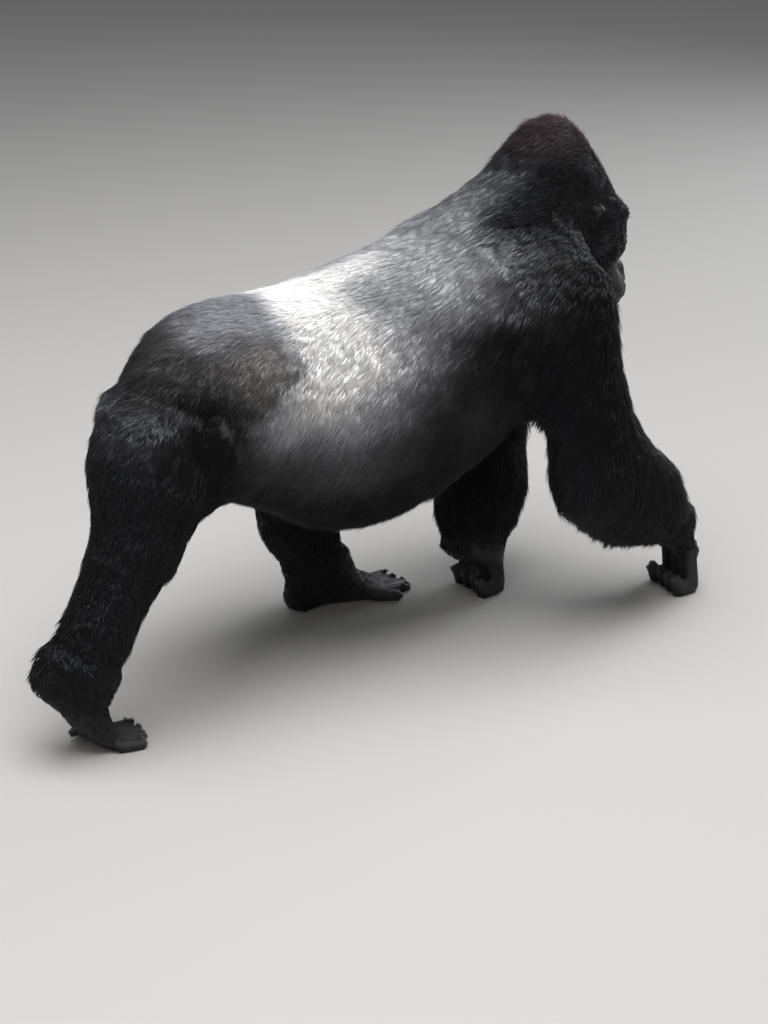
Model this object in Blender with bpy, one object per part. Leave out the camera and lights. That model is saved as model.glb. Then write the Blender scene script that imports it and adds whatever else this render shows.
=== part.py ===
"""A silverback mountain gorilla walking on its knuckles, as a still, life-size museum model.

Frame: +X is the way it walks, +Y its left side, +Z up. The floor is z = 0 and the origin lies on the
floor under the middle of the animal. Lengths are metres. Every solid reaches out to the tips of the coat.

The flesh is a smooth blend of limbs and masses, placed from named sizes round a posed skeleton. It is
netted at one cell size, thinned, and then parted into its nodes by boxes round each part, with a
hair-thin gap between neighbours. Ears and eyes are pieces of their own, let into the head.
"""

import itertools
import math

import bmesh
import bpy
import numpy as np
from mathutils import Matrix, Vector

# ---------------------------------------------------------------- driving sizes

GAP = 0.0004  # clear space between neighbouring solids
CELL = 0.0065  # cell of the grid the flesh is netted on
BODY_TRIANGLES = 3900
RIGHT, LEFT = -1, 1
SIDE_NAMES = {RIGHT: "right", LEFT: "left"}
DIGIT_RADIUS = 0.0165
TOE_RADIUS = 0.0145
PRESSED = 0.004  # how far a digit is sunk where it rests on the floor
FLAT = 0.005  # flesh lower than this is pressed flat on the floor
EYE_RADIUS = 0.0125
CENTRE = np.array((-0.037, 0.012, 0.0))  # the middle of the skeleton as placed, which the origin moves to


def vec(x, y, z):
    """An offset."""
    return np.array((x, y, z), float)


def at(x, y, z):
    """A place on the animal."""
    return np.array((x, y, z), float) - CENTRE


# ---------------------------------------------------------------- posed skeleton
# The right leg pushes off behind and the left has landed under the belly. The left arm carries the
# chest and the right reaches forward.

SHOULDER = {RIGHT: at(0.345, -0.205, 0.78), LEFT: at(0.36, 0.20, 0.78)}
ELBOW = {RIGHT: at(0.458, -0.215, 0.392), LEFT: at(0.42, 0.235, 0.385)}
WRIST = {RIGHT: at(0.715, -0.135, 0.195), LEFT: at(0.338, 0.125, 0.145)}
KNUCKLE = {RIGHT: at(0.78, -0.115, 0.11), LEFT: at(0.37, 0.11, 0.075)}
HIP = {RIGHT: at(-0.375, -0.12, 0.66), LEFT: at(-0.355, 0.12, 0.63)}
KNEE = {RIGHT: at(-0.64, -0.165, 0.41), LEFT: at(-0.10, 0.205, 0.375)}
ANKLE = {RIGHT: at(-0.775, -0.17, 0.185), LEFT: at(-0.03, 0.215, 0.105)}
HEEL = {RIGHT: at(-0.835, -0.17, 0.175), LEFT: at(-0.075, 0.22, 0.037)}
BALL = {RIGHT: at(-0.735, -0.165, 0.024), LEFT: at(0.115, 0.225, 0.024)}

HEAD_CENTRE = at(0.50, 0.0, 0.934)  # midway between the ears
HEAD_PITCH = 29  # the face looks this far below the level
HEAD_YAW = 3  # and this far to the left
HEAD_SCALE = 1.05
HEAD_TURN = np.array(
    Matrix.Rotation(math.radians(HEAD_YAW), 3, "Z") @ Matrix.Rotation(math.radians(HEAD_PITCH), 3, "Y")
)


def head_point(forward, left, up):
    return HEAD_CENTRE + HEAD_TURN @ (HEAD_SCALE * vec(forward, left, up))


# ---------------------------------------------------------------- the field of the flesh


def smooth_values(knots, rows, at):
    """Values at each place on the smooth curves through the knots, one column for each value."""
    knots, rows = np.array(knots, float), np.array(rows, float)
    slopes = np.gradient(rows, knots, axis=0)
    i = np.clip(np.searchsorted(knots, at) - 1, 0, len(knots) - 2)
    width = knots[i + 1] - knots[i]
    t = ((at - knots[i]) / width)[..., None]
    width = width[..., None]
    return (
        rows[i] * (2 * t**3 - 3 * t**2 + 1)
        + slopes[i] * width * (t**3 - 2 * t**2 + t)
        + rows[i + 1] * (3 * t**2 - 2 * t**3)
        + slopes[i + 1] * width * (t**3 - t**2)
    )


WIDEST_BLEND = 0.08


class Field:
    """Distances on a grid, below zero inside. Shapes are blended in one after another."""

    def __init__(self, low, high, cell):
        self.low, self.cell = np.array(low, float), cell
        counts = np.ceil((np.array(high) - self.low) / cell).astype(int) + 1
        self.axes = [self.low[i] + cell * np.arange(counts[i]) for i in range(3)]
        self.value = np.full(counts, 1.0)

    def near(self, low, high):
        """The part of the grid between two corners, as slices and as points."""
        spans = []
        for axis, start, end in zip(self.axes, low, high):
            spans.append(slice(int(np.searchsorted(axis, start)), int(np.searchsorted(axis, end))))
        points = np.stack(np.meshgrid(*[a[s] for a, s in zip(self.axes, spans)], indexing="ij"), -1)
        return tuple(spans), points

    def blend(self, low, high, distance, softness, carve=False):
        margin = max(softness, WIDEST_BLEND) + 2 * self.cell
        spans, points = self.near(low - margin, high + margin)
        if points.size == 0:
            return
        old, new = self.value[spans], distance(points)
        sign = -1 if carve else 1
        old = sign * old
        fold = np.clip(softness - abs(old - new), 0, None) / softness
        self.value[spans] = sign * (np.minimum(old, new) - fold**2 * softness / 4)

    def limb(self, start, end, stations, softness, side=(0, 1, 0), power=2.0, cap=1.0, carve=False):
        """A rounded bar. Each station is (share of the length, half width, half depth, shift forward)."""
        start, end = np.array(start, float), np.array(end, float)
        length = np.linalg.norm(end - start)
        along = (end - start) / length
        deep = np.cross(along, side)
        deep /= np.linalg.norm(deep) * (-1 if deep[0] < -1e-6 else 1)
        wide = np.cross(deep, along)
        knots = [row[0] for row in stations]
        rows = [row[1:] for row in stations]
        if len(stations) == 2:
            knots = [knots[0], sum(knots) / 2, knots[1]]
            rows = [rows[0], [sum(pair) / 2 for pair in zip(*rows)], rows[1]]

        def distance(points):
            offset = points - start
            share = offset @ along / length
            held = np.clip(share, knots[0], knots[-1])
            sizes = smooth_values(knots, rows, held)
            half_wide, half_deep = sizes[..., 0], sizes[..., 1]
            past = abs(share - held) * length
            across = abs(offset @ wide)
            depth = abs(offset @ deep - sizes[..., 2])
            tip = cap * np.minimum(half_wide, half_deep)
            reach = ((across / half_wide) ** power + (depth / half_deep) ** power + (past / tip) ** power)
            reach = np.maximum(reach ** (1 / power), 1e-4)
            return np.sqrt(across**2 + depth**2 + past**2) * (1 - 1 / reach)

        girth = max(max(row[0], row[1]) + abs(row[2]) for row in rows)
        ends = np.stack((start + along * length * knots[0], start + along * length * knots[-1]))
        self.blend(ends.min(0) - girth, ends.max(0) + girth, distance, softness, carve)

    def mass(self, centre, radii, softness, turn=None, carve=False):
        """An ellipsoid of flesh."""
        turn = np.eye(3) if turn is None else turn
        radii = np.array(radii, float)

        def distance(points):
            offset = (points - centre) @ turn
            reach = np.maximum(np.linalg.norm(offset / radii, axis=-1), 1e-4)
            return np.linalg.norm(offset, axis=-1) * (1 - 1 / reach)

        self.blend(centre - radii.max(), centre + radii.max(), distance, softness, carve)

    def soften(self):
        """Rounds off whatever is finer than a cell, so that the net stays simple."""
        for axis in range(3):
            swapped = np.swapaxes(self.value, 0, axis)
            swapped[1:-1] = (swapped[:-2] + 2 * swapped[1:-1] + swapped[2:]) / 4

    def settle(self):
        """Fills in wherever the inside meets itself only corner to corner across a face of the grid."""
        for axis, other in 3 * list(itertools.combinations(range(3), 2)):
            value = np.moveaxis(self.value, (axis, other), (0, 1))
            a, b, c, d = value[:-1, :-1], value[1:, :-1], value[:-1, 1:], value[1:, 1:]
            inside = [part < 0 for part in (a, b, c, d)]
            odd = (inside[0] == inside[3]) & (inside[1] == inside[2]) & (inside[0] != inside[1])
            for part in (a, b, c, d):
                part[odd] = np.minimum(part[odd], -2e-4)

    def net(self):
        """The surface where the field is zero, one corner for each cell it passes through, in quads."""
        inside = self.value < 0
        shape = np.array(inside.shape) - 1
        corners = list(itertools.product((0, 1), repeat=3))

        def corner(grid, c):
            return grid[tuple(slice(c[i], c[i] + shape[i]) for i in range(3))]

        count = sum(corner(inside, c).astype(np.int8) for c in corners)
        mixed = (count > 0) & (count < 8)
        cells = np.argwhere(mixed)
        index = np.full(shape, -1)
        index[mixed] = np.arange(len(cells))
        place = np.zeros((len(cells), 3))
        crossings = np.zeros(len(cells))
        for a, b in itertools.combinations(corners, 2):
            if sum(abs(i - j) for i, j in zip(a, b)) != 1:
                continue
            first = corner(self.value, a)[mixed]
            second = corner(self.value, b)[mixed]
            crossed = (first < 0) != (second < 0)
            share = np.where(crossed, first / np.where(crossed, first - second, 1), 0)
            spot = np.array(a) + share[:, None] * (np.array(b) - np.array(a))
            place += crossed[:, None] * spot
            crossings += crossed
        points = self.low + self.cell * (cells + place / crossings[:, None])
        quads = []
        for axis in range(3):
            one, two = (axis + 1) % 3, (axis + 2) % 3
            step = np.eye(3, dtype=int)
            ahead = tuple(slice(1, None) if i == axis else slice(None) for i in range(3))
            behind = tuple(slice(None, -1) if i == axis else slice(None) for i in range(3))
            changes = inside[behind] != inside[ahead]
            edges = np.argwhere(changes)
            edges = edges[(edges[:, one] > 0) & (edges[:, two] > 0)]
            outward = inside[tuple(edges.T)]
            around = [edges - step[one] - step[two], edges - step[two], edges, edges - step[one]]
            ring = np.stack([index[tuple(c.T)] for c in around], -1)
            ring[~outward] = ring[~outward][:, ::-1]
            quads.append(ring)
        return points, np.concatenate(quads)


# ---------------------------------------------------------------- flesh

# Along the trunk: place, height of the back, height of the belly, half width
TRUNK = (
    (-0.59, 0.68, 0.57, 0.07),
    (-0.54, 0.735, 0.51, 0.115),
    (-0.46, 0.802, 0.455, 0.16),
    (-0.38, 0.834, 0.42, 0.19),
    (-0.28, 0.845, 0.375, 0.213),
    (-0.18, 0.848, 0.32, 0.238),
    (-0.08, 0.868, 0.31, 0.26),
    (0.04, 0.895, 0.342, 0.272),
    (0.14, 0.920, 0.392, 0.27),
    (0.24, 0.940, 0.445, 0.25),
    (0.34, 0.95, 0.51, 0.22),
    (0.42, 0.94, 0.60, 0.17),
)


def add_trunk(field):
    places = [row[0] for row in TRUNK]
    length = places[-1] - places[0]
    stations = []
    for place, back, belly, half_width in TRUNK:
        stations.append(((place - places[0]) / length, half_width, (back - belly) / 2, (back + belly) / 2))
    start, end = at(places[0], 0, 0), at(places[-1], 0, 0)
    field.limb(start, end, stations, 0.01, power=2.3, cap=0.6)


def add_arm(field, side):
    shoulder, elbow, wrist = SHOULDER[side], ELBOW[side], WRIST[side]
    field.mass(at(0.22, 0.12 * side, 0.77), (0.16, 0.10, 0.10), 0.08)
    field.mass(shoulder, (0.12, 0.10, 0.115), 0.07)
    upper = ((-0.05, 0.095, 0.112, 0), (0.35, 0.10, 0.112, 0), (0.7, 0.10, 0.11, 0), (1, 0.098, 0.12, 0))
    field.limb(shoulder, elbow, upper, 0.05)
    fore = (
        (0.0, 0.10, 0.132, -0.004),
        (0.3, 0.108, 0.14, -0.004),
        (0.6, 0.102, 0.13, 0.0),
        (0.85, 0.085, 0.105, 0.0),
        (1.0, 0.066, 0.075, 0.0),
    )
    if side == LEFT:
        # the hair of the standing forearm hangs fuller, down to the wrist
        fore = (
            (0.0, 0.105, 0.132, 0.0),
            (0.3, 0.115, 0.138, 0.015),
            (0.6, 0.115, 0.138, 0.018),
            (0.85, 0.102, 0.125, 0.006),
            (1.0, 0.085, 0.10, 0.0),
        )
    field.limb(elbow, wrist, fore, 0.05)


def add_hand(field, side):
    wrist, knuckle = WRIST[side], KNUCKLE[side]
    palm = ((-0.1, 0.052, 0.05, 0.0), (0.4, 0.06, 0.042, 0.0), (0.9, 0.064, 0.034, 0.0))
    field.limb(wrist, knuckle, palm, 0.03)
    for finger in range(4):
        along = finger_chain(side, finger)
        for a, b in zip(along, along[1:]):
            field.limb(a, b, ((0, DIGIT_RADIUS, DIGIT_RADIUS, 0), (1, DIGIT_RADIUS, DIGIT_RADIUS, 0)), 0.006)
    base, tip = thumb_chain(side)
    field.limb(base, tip, ((0, 0.019, 0.019, 0), (1, 0.0125, 0.0125, 0)), 0.012)


def finger_chain(side, finger):
    """Joints of a curled finger, from the knuckle of the hand to the tip. 0 is the index finger."""
    across = side * (finger - 1.5) * 1.93 * DIGIT_RADIUS
    knuckle = KNUCKLE[side] + vec(-0.006 * abs(finger - 1.2), across, 0)
    floor = DIGIT_RADIUS - PRESSED
    middle = vec(knuckle[0] + 0.012, knuckle[1], floor + 0.006)
    far = vec(middle[0] - 0.04, middle[1], floor)
    return knuckle, middle, far, far + vec(-0.012, 0, 0.03)


def thumb_chain(side):
    base = WRIST[side] * 0.7 + KNUCKLE[side] * 0.3 + vec(0.0, -0.052 * side, -0.012)
    return base, base + vec(0.03, -0.014 * side, -0.055)


def add_leg(field, side):
    hip, knee, ankle = HIP[side], KNEE[side], ANKLE[side]
    if side == RIGHT:
        thigh = (
            (-0.1, 0.11, 0.14, 0),
            (0.3, 0.12, 0.145, -0.025),
            (0.7, 0.12, 0.145, -0.08),
            (1, 0.095, 0.10, -0.012),
        )
        shank = (
            (0, 0.09, 0.084, -0.004),
            (0.35, 0.094, 0.088, -0.006),
            (0.7, 0.09, 0.092, 0),
            (1, 0.075, 0.085, 0),
        )
        field.mass(hip + vec(-0.10, 0.01, 0.0), (0.15, 0.12, 0.15), 0.08)
    else:
        thigh = (
            (-0.1, 0.11, 0.14, 0),
            (0.3, 0.115, 0.15, -0.01),
            (0.7, 0.105, 0.13, -0.01),
            (1, 0.095, 0.11, 0),
        )
        shank = (
            (0, 0.09, 0.10, 0),
            (0.35, 0.094, 0.112, -0.018),
            (0.7, 0.088, 0.105, -0.018),
            (1, 0.064, 0.08, 0),
        )
        field.mass(hip + vec(-0.04, -0.01, 0.0), (0.12, 0.10, 0.125), 0.08)
    field.limb(hip, knee, thigh, 0.06)
    field.limb(knee, ankle, shank, 0.05)


def add_foot(field, side):
    ankle, heel, ball = ANKLE[side], HEEL[side], BALL[side]
    field.mass(heel, (0.042, 0.04, 0.04), 0.03)
    sole = ((0.0, 0.038, 0.036, 0), (0.5, 0.046, 0.034, 0), (1.0, 0.056, 0.026, 0))
    field.limb(heel, ball, sole, 0.03)
    instep = ((0.0, 0.056, 0.062, 0), (1.0, 0.05, 0.032, 0))
    field.limb(ankle, heel * 0.25 + ball * 0.75, instep, 0.04)
    for toe in range(5):
        base, tip, radius = toe_chain(side, toe)
        field.limb(base, tip, ((0, radius, radius, 0), (1, radius * 0.92, radius * 0.92, 0)), 0.006)


def toe_chain(side, toe):
    """Base, tip and radius of a toe. 0 is the big toe, which stands off to the inner side."""
    ball = BALL[side]
    if toe == 0:
        base = ball + vec(-0.045, -0.045 * side, -0.005)
        tip = ball + vec(0.03, -0.082 * side, -ball[2] + 0.015)
        return base, tip, 0.0175
    across = side * (toe - 2.3) * 1.93 * TOE_RADIUS
    base = vec(ball[0] + 0.012, ball[1] + across, TOE_RADIUS - PRESSED)
    reach = (0.07, 0.074, 0.068, 0.056)[toe - 1]
    return base, base + vec(reach, 0.004 * side * (toe - 2), -0.0015), TOE_RADIUS


def add_head_and_neck(field):
    neck = ((0.0, 0.17, 0.135, 0), (0.5, 0.13, 0.138, 0), (1.0, 0.085, 0.112, 0))
    field.limb(at(0.16, 0, 0.77), head_point(-0.085, 0, 0.05), neck, 0.08)
    throat = ((0.0, 0.14, 0.12, 0), (1.0, 0.085, 0.08, 0))
    field.limb(at(0.40, 0, 0.74), head_point(0.03, 0, -0.07), throat, 0.08)
    for side in (RIGHT, LEFT):
        yoke = ((0.0, 0.08, 0.08, 0), (1.0, 0.07, 0.07, 0))
        field.limb(at(0.32, 0.16 * side, 0.82), head_point(-0.09, 0.03 * side, 0.03), yoke, 0.08)
    head(field, (-0.008, 0, 0.018), (0.115, 0.098, 0.098), 0.05)
    head(field, (-0.112, 0, 0.075), (0.075, 0.058, 0.09), 0.07)
    for side in (RIGHT, LEFT):
        head(field, (0.082, 0.032 * side, 0.046), (0.030, 0.042, 0.022), 0.02)
        head(field, (0.05, 0.07 * side, -0.036), (0.075, 0.047, 0.084), 0.04)
        head(field, (0.0, 0.05 * side, -0.10), (0.07, 0.035, 0.06), 0.04)
    head(field, (0.112, 0, -0.01), (0.028, 0.024, 0.06), 0.02)
    head(field, (0.092, 0, -0.06), (0.055, 0.066, 0.062), 0.03)
    head(field, (0.142, 0, -0.106), (0.074, 0.069, 0.052), 0.03)
    head(field, (0.128, 0, -0.158), (0.072, 0.058, 0.037), 0.02)
    for side in (RIGHT, LEFT):
        head(field, (0.164, 0.022 * side, -0.066), (0.022, 0.024, 0.018), 0.012)
        # the hollow under the brow that the eye sits in
        head(field, (0.115, 0.038 * side, 0.014), (0.022, 0.022, 0.016), 0.012, carve=True)


def head(field, place, radii, softness, carve=False):
    field.mass(head_point(*place), HEAD_SCALE * np.array(radii), softness, HEAD_TURN, carve)


def whole_flesh():
    field = Field(at(-0.95, -0.36, -0.02), at(0.87, 0.38, 1.20), CELL)
    add_trunk(field)
    add_head_and_neck(field)
    for side in (RIGHT, LEFT):
        add_arm(field, side)
        add_leg(field, side)
        add_hand(field, side)
        add_foot(field, side)
    field.soften()
    # the floor makes small flats under whatever rests on it
    floor = -field.axes[2][None, None, :]
    field.value = np.maximum(field.value, floor)
    field.settle()
    points, quads = field.net()
    mesh = bpy.data.meshes.new("flesh")
    mesh.from_pydata(points.tolist(), [], quads.tolist())
    flesh = bpy.data.objects.new("flesh", mesh)
    bpy.context.scene.collection.objects.link(flesh)
    thin = flesh.modifiers.new("thin", "DECIMATE")
    thin.ratio = BODY_TRIANGLES / (2 * len(quads))
    apply_modifiers(flesh)
    for vertex in flesh.data.vertices:
        if vertex.co.z < FLAT:
            vertex.co.z = 0
    return flesh


def apply_modifiers(obj):
    graph = bpy.context.evaluated_depsgraph_get()
    mesh = bpy.data.meshes.new_from_object(obj.evaluated_get(graph))
    obj.modifiers.clear()
    obj.data = mesh


def merge_flats(obj):
    """Joins the slivers beside the cuts into the faces they lie in."""
    flat = obj.modifiers.new("flat", "DECIMATE")
    flat.decimate_type = "DISSOLVE"
    flat.angle_limit = math.radians(4)
    apply_modifiers(obj)


def clear_scene():
    for obj in list(bpy.data.objects):
        bpy.data.objects.remove(obj, do_unlink=True)


# ---------------------------------------------------------------- parting into nodes


def unit(direction):
    return np.array(direction, float) / np.linalg.norm(direction)


def block(planes, grow):
    """The part of a large cube behind every (point, outward normal), with each plane moved out by grow."""
    bm = bmesh.new()
    bmesh.ops.create_cube(bm, size=4.0)
    for point, normal in planes:
        normal = unit(normal)
        cut = bmesh.ops.bisect_plane(
            bm,
            geom=bm.verts[:] + bm.edges[:] + bm.faces[:],
            plane_co=point + grow * normal,
            plane_no=normal,
            clear_outer=True,
        )
        rim = [item for item in cut["geom_cut"] if isinstance(item, bmesh.types.BMEdge)]
        bmesh.ops.contextual_create(bm, geom=rim)
    bmesh.ops.recalc_face_normals(bm, faces=bm.faces)
    mesh = bpy.data.meshes.new("block")
    bm.to_mesh(mesh)
    bm.free()
    obj = bpy.data.objects.new("block", mesh)
    bpy.context.scene.collection.objects.link(obj)
    return obj


def combine(target, cutter, operation):
    boolean = target.modifiers.new("cut", "BOOLEAN")
    boolean.operation = operation
    boolean.solver = "EXACT"
    boolean.object = cutter
    apply_modifiers(target)


def part_off(whole, name, planes):
    """Takes the part of whole behind the planes off it, as an object of its own."""
    piece = whole.copy()
    piece.data = whole.data.copy()
    piece.name = name
    bpy.context.scene.collection.objects.link(piece)
    for target, operation, grow in ((piece, "INTERSECT", -GAP / 2), (whole, "DIFFERENCE", GAP / 2)):
        cutter = block(planes, grow)
        combine(target, cutter, operation)
        bpy.data.objects.remove(cutter, do_unlink=True)
        keep_largest(target)
    return piece


def keep_largest(obj):
    """Drops the crumbs that a cut leaves."""
    bm = bmesh.new()
    bm.from_mesh(obj.data)
    left = set(bm.verts)
    islands = []
    while left:
        island, edge = set(), [left.pop()]
        while edge:
            vertex = edge.pop()
            island.add(vertex)
            for link in vertex.link_edges:
                other = link.other_vert(vertex)
                if other in left:
                    left.discard(other)
                    edge.append(other)
        islands.append(island)
    for island in sorted(islands, key=len)[:-1]:
        bmesh.ops.delete(bm, geom=list(island), context="VERTS")
    bm.to_mesh(obj.data)
    bm.free()


def between(before, joint, after):
    """The plane across a joint, facing the way the bones run."""
    return joint, unit(unit(joint - before) + unit(after - joint))


def behind(plane):
    point, normal = plane
    return point, -normal


def part_arms(flesh):
    across = vec(0, 1, 0)
    for side in (RIGHT, LEFT):
        name = SIDE_NAMES[side]
        elbow = between(SHOULDER[side], ELBOW[side], WRIST[side])
        inner = (at(0, 0.012 * side, 0), -side * across)
        behind_arm = (at(0.228, 0, 0), vec(-1, 0, 0))
        forearm = part_off(flesh, "forearm_" + name, [behind(elbow), inner, behind_arm])
        shoulder_planes = [(at(0, 0.135 * side, 0), -side * across), (at(0.25, 0, 0.6), vec(-1, 0, -0.12))]
        part_off(flesh, "upper_arm_" + name, shoulder_planes)
        wrist = between(ELBOW[side], WRIST[side], KNUCKLE[side])
        hand = part_off(forearm, "hand_" + name, [behind(wrist)])
        part_fingers(hand, side)


def part_fingers(hand, side):
    name = SIDE_NAMES[side]
    knuckle, middle = finger_chain(side, 1)[:2]
    down = unit(unit(KNUCKLE[side] - WRIST[side]) + unit(middle - knuckle))
    base = (KNUCKLE[side] - 0.006 * down, -down)
    titles = ("index", "middle", "ring", "little")
    pitch = 1.93 * DIGIT_RADIUS
    for finger, title in enumerate(titles):
        planes = [base]
        if finger < 3:
            edge = KNUCKLE[side] + vec(0, side * (finger - 1) * pitch, 0)
            planes.append((edge, vec(0, side, 0)))
        part_off(hand, title + "_finger_" + name, planes)
    start, end = thumb_chain(side)
    beside = KNUCKLE[side] - vec(0, 0.052 * side, 0)
    part_off(hand, "thumb_" + name, [(beside, vec(0, side, 0)), (start + vec(0, 0, 0.02), vec(0, 0, 1))])


def part_legs(flesh):
    right = [(at(-0.40, 0, 0.43), vec(0.775, 0, 0.63)), (at(0, -0.004, 0), vec(0, 1, 0))]
    left = [(at(-0.1735, 0.09, 0.50), vec(0.2, -0.93, 0.3)), (at(0.0, 0, 0.45), vec(0.74, 0, 0.67))]
    for side, planes in ((RIGHT, right), (LEFT, left)):
        name = SIDE_NAMES[side]
        thigh = part_off(flesh, "thigh_" + name, planes)
        knee = between(HIP[side], KNEE[side], ANKLE[side])
        shank = part_off(thigh, "shank_" + name, [behind(knee)])
        along = unit(ANKLE[side] - KNEE[side])
        foot = part_off(shank, "foot_" + name, [(ANKLE[side] - 0.03 * along, -along)])
        part_toes(foot, side)


def part_toes(foot, side):
    name = SIDE_NAMES[side]
    ball = BALL[side]
    ahead = (ball + vec(0.014, 0, 0), vec(-1, 0, 0))
    under = (ball + vec(0, 0, 0.03), vec(0, 0, 1))
    pitch = 1.93 * TOE_RADIUS
    for toe in (4, 3, 2, 1):
        planes = [ahead, under]
        edge = ball + vec(0, side * (toe - 2.8) * pitch, 0)
        planes.append((edge, vec(0, -side, 0)))
        part_off(foot, ("", "second", "third", "fourth", "fifth")[toe] + "_toe_" + name, planes)
    base, tip, radius = toe_chain(side, 0)
    along = unit(tip - base)
    part_off(foot, "big_toe_" + name, [(base + 0.03 * along, -along), under])


def part_trunk(flesh):
    part = part_off(flesh, "head", [(at(0.42, 0, 0.91), vec(-0.88, 0, -0.47))])
    mouth = head_point(0.2, 0, -0.133), HEAD_TURN @ vec(0.12, 0, 1)
    part_off(part, "jaw", [mouth])
    part_off(flesh, "neck", [(at(0.34, 0, 0.82), vec(-0.757, 0, -0.652))])
    part_off(flesh, "chest", [(at(0.10, 0, 0), vec(-1, 0, 0))])
    part_off(flesh, "abdomen", [(at(-0.22, 0, 0), vec(-1, 0, 0))])
    flesh.name = "pelvis"
    return part


# ---------------------------------------------------------------- eyes and ears


def let_in(head_solid, piece):
    """Cuts the seat of a piece in the head, a gap wider than the piece."""
    seat = piece.copy()
    seat.data = piece.data.copy()
    bpy.context.scene.collection.objects.link(seat)
    centre = sum((v.co for v in seat.data.vertices), Vector()) / len(seat.data.vertices)
    for vertex in seat.data.vertices:
        offset = vertex.co - centre
        vertex.co += GAP * offset.normalized()
    combine(head_solid, seat, "DIFFERENCE")
    bpy.data.objects.remove(seat, do_unlink=True)


def add_eye(side):
    centre = head_point(0.098, 0.037 * side, 0.014)
    bm = bmesh.new()
    place = Matrix.Translation(centre)
    bmesh.ops.create_uvsphere(bm, u_segments=14, v_segments=9, radius=EYE_RADIUS, matrix=place)
    mesh = bpy.data.meshes.new("eye_" + SIDE_NAMES[side])
    bm.to_mesh(mesh)
    bm.free()
    eye = bpy.data.objects.new(mesh.name, mesh)
    bpy.context.scene.collection.objects.link(eye)
    return eye


def add_ear(side):
    """A small flat ear with a hollow shell, standing off the side of the head."""
    centre = head_point(-0.008, 0.108 * side, 0.0)
    turn = HEAD_TURN @ np.array(Matrix.Rotation(math.radians(-24 * side), 3, "Z"))
    field = Field(centre - 0.07, centre + 0.07, 0.003)
    field.mass(centre, (0.021, 0.011, 0.030), 0.004, turn)
    hollow = centre + turn @ vec(0.006, 0.010 * side, 0.002)
    field.mass(hollow, (0.012, 0.006, 0.018), 0.003, turn, carve=True)
    points, quads = field.net()
    mesh = bpy.data.meshes.new("ear_" + SIDE_NAMES[side])
    mesh.from_pydata(points.tolist(), [], quads.tolist())
    ear = bpy.data.objects.new(mesh.name, mesh)
    bpy.context.scene.collection.objects.link(ear)
    thin = ear.modifiers.new("thin", "DECIMATE")
    thin.ratio = 170 / (2 * len(quads))
    apply_modifiers(ear)
    return ear


# ---------------------------------------------------------------- finish

HAIR_BLACK = (0.012, 0.012, 0.014)
SADDLE_SILVER = (0.42, 0.41, 0.40)
BARE_SKIN = (0.018, 0.016, 0.016)
EYE_BROWN = (0.05, 0.018, 0.008)


def paint(obj):
    colour, roughness = HAIR_BLACK, 0.8
    if obj.name in ("abdomen", "chest"):
        colour = SADDLE_SILVER
    elif "toe" in obj.name or "finger" in obj.name or "thumb" in obj.name or obj.name in ("jaw", "head"):
        colour, roughness = BARE_SKIN, 0.55
    elif obj.name.startswith("eye"):
        colour, roughness = EYE_BROWN, 0.1
    material = bpy.data.materials.new(obj.name)
    material.use_nodes = True
    shader = material.node_tree.nodes["Principled BSDF"]
    shader.inputs["Base Color"].default_value = (*colour, 1)
    shader.inputs["Roughness"].default_value = roughness
    obj.data.materials.clear()
    obj.data.materials.append(material)


def centre_over_origin():
    """The last fraction of a millimetre, so that the box of the whole is centred on the origin."""
    solids = list(bpy.data.objects)
    low = [min(v.co[i] for obj in solids for v in obj.data.vertices) for i in range(2)]
    high = [max(v.co[i] for obj in solids for v in obj.data.vertices) for i in range(2)]
    middle = Vector(((low[0] + high[0]) / 2, (low[1] + high[1]) / 2, 0))
    for obj in solids:
        obj.data.transform(Matrix.Translation(-middle))


clear_scene()
flesh = whole_flesh()
part_arms(flesh)
part_legs(flesh)
skull = part_trunk(flesh)
for side in (RIGHT, LEFT):
    let_in(skull, add_eye(side))
    let_in(skull, add_ear(side))
for solid in bpy.data.objects:
    merge_flats(solid)
    paint(solid)
centre_over_origin()
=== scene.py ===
"""The looks of a silverback mountain gorilla walking on its knuckles.

One skin is shrunk on to the flesh nodes and lies inside them by the depth of the coat. Behind the right
hip it fills the step between pelvis and thigh. The face, lids, lips, ears and folds are pushed into it.
The coat is solid mesh: thin closed tufts rooted on the skin, which follow the lie of the hair and reach
out to the surface of the flesh nodes. Eyes and nails are pieces of their own. Lengths are metres: +X is
the way it walks, +Y its left side, +Z up.
"""

import math

import bmesh
import bpy
import numpy as np
from mathutils import Matrix, Vector
from mathutils.bvhtree import BVHTree
from mathutils.kdtree import KDTree


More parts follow.
